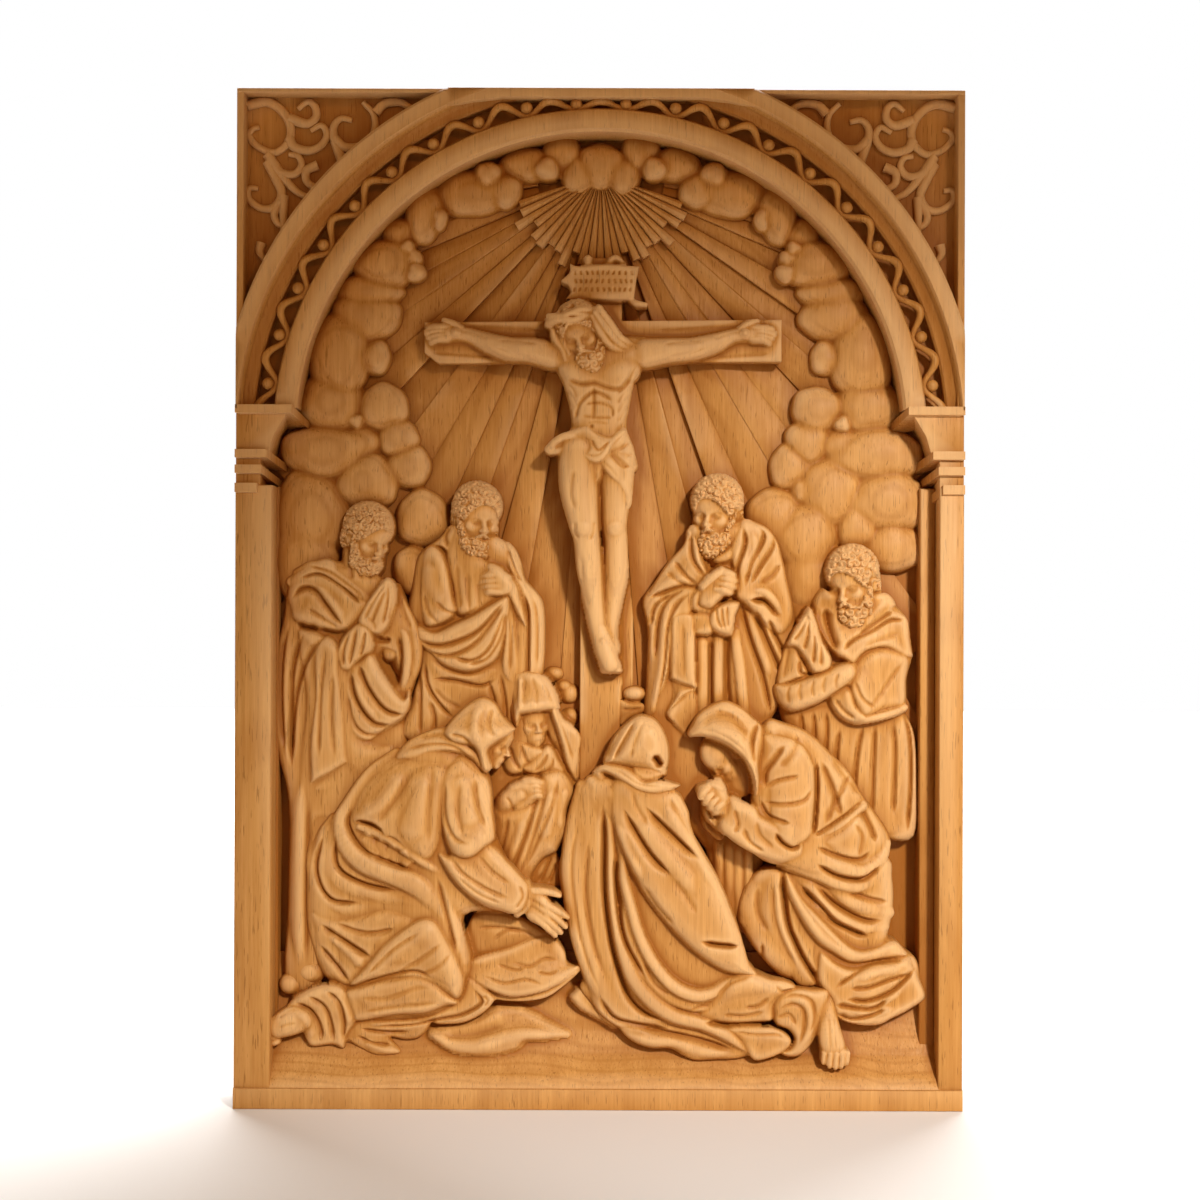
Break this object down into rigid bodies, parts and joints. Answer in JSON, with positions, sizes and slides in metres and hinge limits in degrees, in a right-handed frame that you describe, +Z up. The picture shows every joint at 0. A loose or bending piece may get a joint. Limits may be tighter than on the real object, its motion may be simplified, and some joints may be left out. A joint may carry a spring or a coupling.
{
  "type": "carved relief panel",
  "caption": "Upright wooden panel carved in deep relief: figures around a cross under rays and clouds, in an arched niche with pillars.",
  "frame": {"origin": "middle of the panel's underside, halfway through its full depth", "axes": "+Z up along the panel's height, +X to the viewer's right, and the carved face towards -Y"},
  "size_m": [0.4, 0.054, 0.56],
  "materials": {
    "oiled_beech": "satin"
  },
  "bodies": {
    "root": {"carved_panel": "oiled_beech"}
  },
  "joints": []
}
